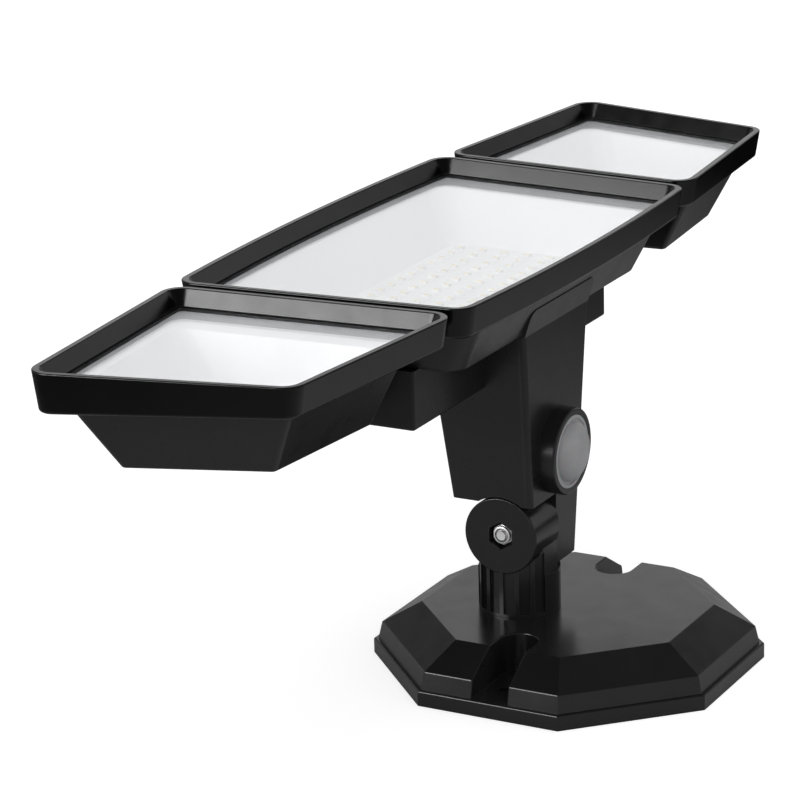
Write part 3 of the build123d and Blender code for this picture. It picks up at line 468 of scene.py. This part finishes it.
def finish_piece(mesh, name, node, materials):
    """Turn mesh data into a piece that stands for a node and rides on its body."""
    mesh.normal_update()
    data = bpy.data.meshes.new(name)
    mesh.to_mesh(data)
    mesh.free()
    for material in materials:
        data.materials.append(material)
    piece = bpy.data.objects.new(name, data)
    bpy.context.scene.collection.objects.link(piece)
    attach(piece, body_of(node))
    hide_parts(node)
    smooth_node(piece)


def band(mesh, low, high, material=0):
    """Faces between two rings of as many points."""
    for step in range(len(low)):
        after = (step + 1) % len(low)
        face = mesh.faces.new((low[step], low[after], high[after], high[step]))
        face.material_index = material


def cap(mesh, ring, place, material=0):
    """Fan of faces from a ring to a point."""
    tip = mesh.verts.new(place)
    for step in range(len(ring)):
        face = mesh.faces.new((ring[step], ring[(step + 1) % len(ring)], tip))
        face.material_index = material


def led_angles(half_width, half_length):
    """Directions round an LED, with one at each corner."""
    corner = atan2(half_length, half_width)
    marks = (0, corner, pi - corner, pi + corner, 2 * pi - corner, 2 * pi)
    angles = []
    for start, end in zip(marks, marks[1:]):
        angles += [start + (end - start) * step / led_corner_steps for step in range(led_corner_steps)]
    return angles


def add_led(mesh, centre, height):
    """White package with a round window of phosphor gel, and a metal terminal at each end."""
    half_width = led_half_width
    half_length = led_half_length - led_terminal_reach
    angles = led_angles(half_width, half_length)

    def oblong(inset, z):
        points = []
        for angle in angles:
            across = (half_width - inset) / max(abs(cos(angle)), tiny)
            along = (half_length - inset) / max(abs(sin(angle)), tiny)
            reach = min(across, along)
            points.append(mesh.verts.new(centre + Vector((reach * cos(angle), reach * sin(angle), z))))
        return points

    def circle(radius, z):
        return [mesh.verts.new(centre + Vector((radius * cos(a), radius * sin(a), z))) for a in angles]

    foot = oblong(0, 0)
    shoulder = oblong(0, height - led_edge)
    top = oblong(led_edge, height)
    window = circle(led_window_radius, height)
    well = circle(led_window_foot, height - led_window_depth)
    gel = circle(led_window_foot / 2, height - led_window_depth + led_gel_rise)
    band(mesh, foot, shoulder)
    band(mesh, shoulder, top)
    band(mesh, top, window)
    band(mesh, window, well)
    band(mesh, well, gel, led_gel_index)
    cap(mesh, gel, centre + Vector((0, 0, height - led_window_depth + led_gel_rise)), led_gel_index)
    cap(mesh, list(reversed(foot)), centre)
    for side in (1, -1):
        root = side * (half_length - led_terminal_root)
        end = side * (half_length + led_terminal_reach)
        add_terminal(mesh, centre, min(root, end), max(root, end))


def add_terminal(mesh, centre, near, far):
    """Closed metal block from near to far along Y."""
    wide = led_terminal_half_width

    def outline(z):
        corners = ((-wide, near, z), (wide, near, z), (wide, far, z), (-wide, far, z))
        return [mesh.verts.new(centre + Vector(corner)) for corner in corners]

    low = outline(0)
    high = outline(led_terminal_height)
    band(mesh, low, high, led_metal_index)
    mesh.faces.new(high).material_index = led_metal_index
    mesh.faces.new(list(reversed(low))).material_index = led_metal_index


def build_leds():
    """Detailed LEDs on each lamp's board."""
    for node, (rows, columns) in led_rows.items():
        low, high = (Vector(corner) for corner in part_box(node))
        pitch_x = (high.x - low.x - 2 * led_half_width) / (rows - 1)
        pitch_y = (high.y - low.y - 2 * led_half_length) / (columns - 1)
        first = low + Vector((led_half_width, led_half_length, 0))
        mesh = bmesh.new()
        for row in range(rows):
            for column in range(columns):
                add_led(mesh, first + Vector((row * pitch_x, column * pitch_y, 0)), high.z - low.z)
        materials = (finishes["led_ceramic"], finishes["led_yellow"], finishes["steel"])
        finish_piece(mesh, f"{node}_detail", node, materials)


def turning(mesh, axis):
    """Function that adds a ring round a line along X: place on the line, and radius for each direction."""
    def ring(place, radius):
        points = []
        for step in range(turn_sides):
            angle = 2 * pi * step / turn_sides
            reach = radius(angle) if callable(radius) else radius
            points.append(mesh.verts.new((place, axis.y + reach * cos(angle), axis.z + reach * sin(angle))))
        return points
    return ring


def six_sided(flats):
    """Radius of a hexagon for each direction, with flats facing +Y and -Y."""
    def radius(angle):
        return flats / 2 / cos((angle + pi / 6) % (pi / 3) - pi / 6)
    return radius


def build_rings(mesh, rings):
    """Bands between rings that follow one another."""
    for low, high in zip(rings, rings[1:]):
        band(mesh, high, low)


def build_lock_nut():
    """Six-sided nut with chamfered corners, and a round collar round a dark ring that grips the bolt."""
    low, high = (Vector(corner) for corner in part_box("pivot_nut"))
    axis = (low + high) / 2
    hexagon = six_sided(nut_flats)
    collar_foot = low.x + collar_height

    def chamfered(angle):
        return min(hexagon(angle), nut_chamfer_radius)

    mesh = bmesh.new()
    ring = turning(mesh, axis)
    chamfer = (hexagon(pi / 6) - nut_chamfer_radius) / 2
    bore = bolt_radius + nut_bore_play
    rings = [
        ring(high.x, bore),
        ring(high.x, chamfered),
        ring(high.x - chamfer, hexagon),
        ring(collar_foot + chamfer, hexagon),
        ring(collar_foot, chamfered),
        ring(collar_foot, collar_radius),
        ring(low.x + collar_round, collar_radius),
        ring(low.x + collar_round / 3, collar_radius - collar_round / 3),
        ring(low.x, collar_radius - collar_round),
        ring(low.x, collar_radius - collar_rim),
        ring(low.x + insert_depth, collar_radius - collar_rim),
    ]
    build_rings(mesh, rings)
    grip = ring(low.x + insert_depth, bore)
    band(mesh, grip, rings[-1], grip_index)
    band(mesh, rings[0], grip)
    finish_piece(mesh, "lock_nut", "pivot_nut", (finishes["steel"], finishes["seal_rubber"]))


def build_bolt():
    """Bolt with a pointed threaded end, and a knurled head with a six-sided socket."""
    low, high = (Vector(corner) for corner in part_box("pivot_bolt"))
    axis = (low + high) / 2
    seat = high.x - bolt_head_height

    def knurled(angle):
        return bolt_head_radius - knurl_depth * abs(sin(knurl_count * angle / 2))

    mesh = bmesh.new()
    ring = turning(mesh, axis)
    tip = ring(low.x, bolt_tip_radius)
    rings = [tip]
    place = low.x + bolt_tip_length
    while place < low.x + thread_length:
        rings.append(ring(place, bolt_radius))
        rings.append(ring(place + thread_pitch / 4, bolt_radius))
        rings.append(ring(place + thread_pitch / 2, bolt_radius - thread_depth))
        rings.append(ring(place + thread_pitch * 3 / 4, bolt_radius - thread_depth))
        place += thread_pitch
    socket = six_sided(socket_radius * sqrt(3))
    floor = ring(high.x - socket_depth, socket)
    rings += [
        ring(place, bolt_radius),
        ring(seat, bolt_radius),
        ring(seat, bolt_head_radius - bolt_head_edge),
        ring(seat + bolt_head_edge, knurled),
        ring(high.x - bolt_head_edge, knurled),
        ring(high.x, bolt_head_radius - bolt_head_edge),
        ring(high.x, socket),
        floor,
    ]
    build_rings(mesh, rings)
    cap(mesh, tip, (low.x, axis.y, axis.z))
    cap(mesh, list(reversed(floor)), (high.x - socket_depth, axis.y, axis.z))
    bmesh.ops.recalc_face_normals(mesh, faces=mesh.faces)
    finish_piece(mesh, "pivot_bolt_detail", "pivot_bolt", (finishes["steel"],))


def set_camera():
    """Camera at the photograph's place."""
    camera = bpy.data.objects.new("camera", bpy.data.cameras.new("camera"))
    camera.data.lens = camera_lens
    camera.data.sensor_width = camera_sensor
    camera.data.clip_start = camera_clip
    camera.matrix_world = (
        Matrix.Translation(camera_place)
        @ Matrix.Rotation(camera_azimuth, 4, "Z")
        @ Matrix.Rotation(pi / 2 - camera_elevation, 4, "X")
        @ Matrix.Rotation(camera_roll, 4, "Z")
    )
    bpy.context.scene.collection.objects.link(camera)
    bpy.context.scene.camera = camera


def soft_lamp(name, place, size, power, mirrored):
    """Rectangular soft lamp that faces the object: it shows in shiny faces, or lights the rest."""
    lamp = bpy.data.lights.new(name, "AREA")
    lamp.shape = "RECTANGLE"
    lamp.size, lamp.size_y = size
    lamp.energy = power
    holder = bpy.data.objects.new(name, lamp)
    holder.location = place
    holder.rotation_euler = (lamp_target - place).to_track_quat("-Z", "Y").to_euler()
    holder.visible_glossy = mirrored
    holder.visible_diffuse = not mirrored
    bpy.context.scene.collection.objects.link(holder)


def set_floor():
    """White floor that shiny faces see only near the object."""
    bpy.ops.mesh.primitive_plane_add(size=2 * floor_half, location=(0, 0, 0))
    floor = bpy.context.object
    floor.name = "floor"
    tree = Tree("floor_white")
    dark = (floor_white,) * 3
    light = (floor_white + floor_variation,) * 3
    white = tree.shade(tree.noise(scale=6, detail=2), dark, light)
    tree.set(Roughness=0.9, Specular_IOR_Level=0.1, Emission_Color=(1, 1, 1, 1))
    path = tree.nodes.new("ShaderNodeLightPath")
    away = tree.nodes.new("ShaderNodeVectorMath")
    away.operation = "LENGTH"
    tree.join(tree.place, away.inputs[0])
    far = tree.span(away.outputs["Value"], 0.0, 1.0, mirrored_floor_near, mirrored_floor_far)
    unlit = tree.math("MULTIPLY", far, path.outputs["Is Glossy Ray"])
    tree.colour(tree.mix(unlit, white, (0.0, 0.0, 0.0)))
    seen = tree.math("MAXIMUM", path.outputs["Is Camera Ray"], path.outputs["Is Transmission Ray"])
    tree.join(tree.math("MULTIPLY", seen, floor_glow), tree.shader.inputs["Emission Strength"])
    floor.data.materials.append(tree.material)


def set_room():
    """White room to the eye; what lights the object and what shiny faces mirror have their own levels."""
    world = bpy.data.worlds.new("room")
    bpy.context.scene.world = world
    world.use_nodes = True
    room = world.node_tree
    back = room.nodes["Background"]
    back.inputs["Color"].default_value = (1, 1, 1, 1)
    path = room.nodes.new("ShaderNodeLightPath")

    def follow(ray, other, level):
        """The room's level for one kind of ray; other rays keep what they had."""
        node = room.nodes.new("ShaderNodeMapRange")
        room.links.new(path.outputs[ray], node.inputs["Value"])
        for end, value in (("To Min", other), ("To Max", level)):
            if isinstance(value, float):
                node.inputs[end].default_value = value
            else:
                room.links.new(value, node.inputs[end])
        return node.outputs["Result"]

    heading = room.nodes.new("ShaderNodeSeparateXYZ")
    room.links.new(room.nodes.new("ShaderNodeTexCoord").outputs["Generated"], heading.inputs["Vector"])
    height = room.nodes.new("ShaderNodeMapRange")
    height.inputs["From Min"].default_value = horizon_end
    height.inputs["From Max"].default_value = overhead_start
    height.inputs["To Min"].default_value = room_horizon
    height.inputs["To Max"].default_value = room_overhead
    room.links.new(heading.outputs["Z"], height.inputs["Value"])
    mirrored = follow("Is Glossy Ray", room_light, height.outputs["Result"])
    through = follow("Is Transmission Ray", mirrored, room_through_lens)
    seen = follow("Is Camera Ray", through, 1.0)
    room.links.new(seen, back.inputs["Strength"])


def set_lamps():
    """A lamp that lights the object from above, and two windows for shiny faces to mirror."""
    soft_lamp("lamp_top", top_lamp_place, top_lamp_size, top_lamp_power, False)
    soft_lamp("lamp_left", left_lamp_place, left_lamp_size, left_lamp_power, True)
    soft_lamp("lamp_back", back_lamp_place, back_lamp_size, back_lamp_power, True)


dress_nodes()
build_leds()
build_lock_nut()
build_bolt()
set_camera()
set_floor()
set_room()
set_lamps()
bpy.context.scene.view_settings.view_transform = "Standard"

bpy.context.view_layer.update()
